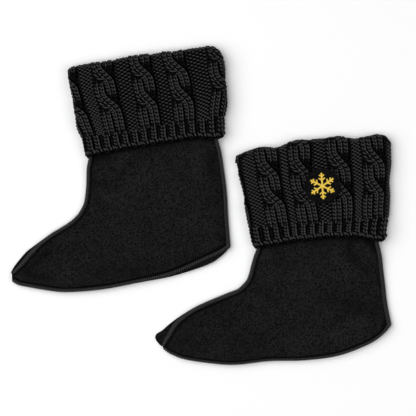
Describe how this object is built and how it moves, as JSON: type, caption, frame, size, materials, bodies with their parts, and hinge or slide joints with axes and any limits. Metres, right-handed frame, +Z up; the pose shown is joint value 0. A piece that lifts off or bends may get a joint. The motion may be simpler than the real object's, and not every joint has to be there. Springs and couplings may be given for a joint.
{
  "type": "pair of boot liners",
  "caption": "Fleece boot liners lying flat, each with a folded-down cable-knit cuff, for wearing inside rain boots.",
  "frame": {"origin": "centre of the pair's bounding box, on the surface that both liners lie on", "axes": "+Z up out of the surface, +X from the toes towards the heels, +Y towards the cuffs"},
  "size_m": [0.4254, 0.3558, 0.0173],
  "materials": {
    "fleece": "brushed matte fleece",
    "knit": "soft-sheen knitted yarn",
    "patch": "black felt with gold embroidery"
  },
  "bodies": {
    "root": {"plain_liner_near_side": "fleece", "plain_liner_far_side": "fleece", "plain_liner_sole": "fleece", "plain_liner_cuff": "knit", "patched_liner_near_side": "fleece", "patched_liner_far_side": "fleece", "patched_liner_sole": "fleece", "patched_liner_cuff": "knit", "patched_liner_patch": "patch"}
  },
  "joints": []
}
